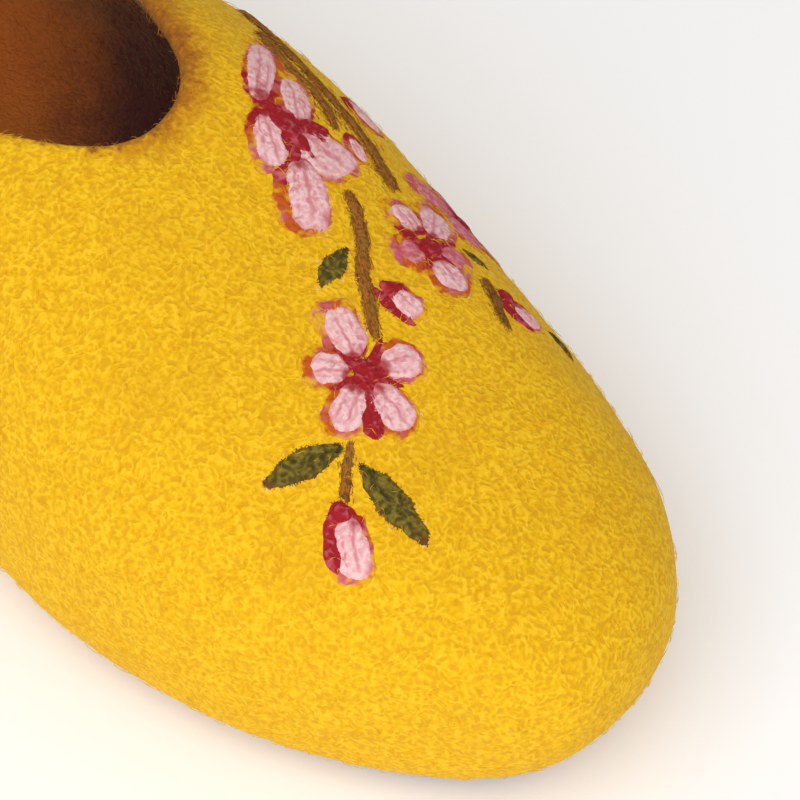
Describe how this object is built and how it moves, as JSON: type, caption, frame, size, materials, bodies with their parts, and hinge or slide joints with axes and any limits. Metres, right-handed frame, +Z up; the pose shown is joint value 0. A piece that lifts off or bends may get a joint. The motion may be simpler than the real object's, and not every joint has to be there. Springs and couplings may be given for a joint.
{
  "type": "felt slipper",
  "caption": "Slip-on house slipper for the right foot: a seamless felted shell with a wide collar opening, a thin sole, an insole and a raised cherry blossom spray on the vamp.",
  "frame": {"origin": "on the floor under the middle of the slipper's box", "axes": "+Y towards the toe, +X towards the wearer's right (the outer side), +Z up"},
  "size_m": [0.1032, 0.265, 0.0796],
  "materials": {
    "yellow_felt": "matt wet-felted wool, wormy fibre clumps",
    "brown_suede": "matt suede",
    "brown_felt": "matt felt",
    "pale_pink_wool": "matt needle-felted wool",
    "deep_pink_wool": "matt needle-felted wool",
    "red_wool": "matt needle-felted wool",
    "olive_wool": "matt needle-felted wool",
    "brown_wool": "matt needle-felted wool"
  },
  "bodies": {
    "root": {"far_blossom_centre": "red_wool", "far_blossom_petal_1": "pale_pink_wool", "far_blossom_petal_2": "deep_pink_wool", "far_blossom_petal_3": "pale_pink_wool", "far_blossom_petal_4": "pale_pink_wool", "far_blossom_petal_5": "pale_pink_wool", "far_bud": "pale_pink_wool", "far_leaf": "olive_wool", "front_blossom_centre": "red_wool", "front_blossom_petal_1": "pale_pink_wool", "front_blossom_petal_2": "pale_pink_wool", "front_blossom_petal_3": "pale_pink_wool", "front_blossom_petal_4": "pale_pink_wool", "front_blossom_petal_5": "pale_pink_wool", "insole": "brown_felt", "low_bud": "pale_pink_wool", "low_bud_calyx": "red_wool", "low_leaf_inner": "olive_wool", "low_leaf_outer": "olive_wool", "low_stem": "brown_wool", "main_branch": "brown_wool", "middle_bud": "pale_pink_wool", "middle_bud_calyx": "red_wool", "side_blossom_centre": "red_wool", "side_blossom_petal_1": "pale_pink_wool", "side_blossom_petal_2": "deep_pink_wool", "side_blossom_petal_3": "pale_pink_wool", "side_blossom_petal_4": "deep_pink_wool", "side_blossom_petal_5": "pale_pink_wool", "side_bud": "pale_pink_wool", "side_bud_calyx": "red_wool", "side_leaf": "olive_wool", "side_twig": "brown_wool", "small_bud": "pale_pink_wool", "sole": "brown_suede", "throat_blossom_centre": "red_wool", "throat_blossom_petal_1": "pale_pink_wool", "throat_blossom_petal_2": "pale_pink_wool", "throat_blossom_petal_3": "pale_pink_wool", "throat_blossom_petal_4": "pale_pink_wool", "throat_blossom_petal_5": "pale_pink_wool", "throat_branch": "brown_wool", "twig": "brown_wool", "twig_leaf": "olive_wool", "upper": "yellow_felt"}
  },
  "joints": []
}
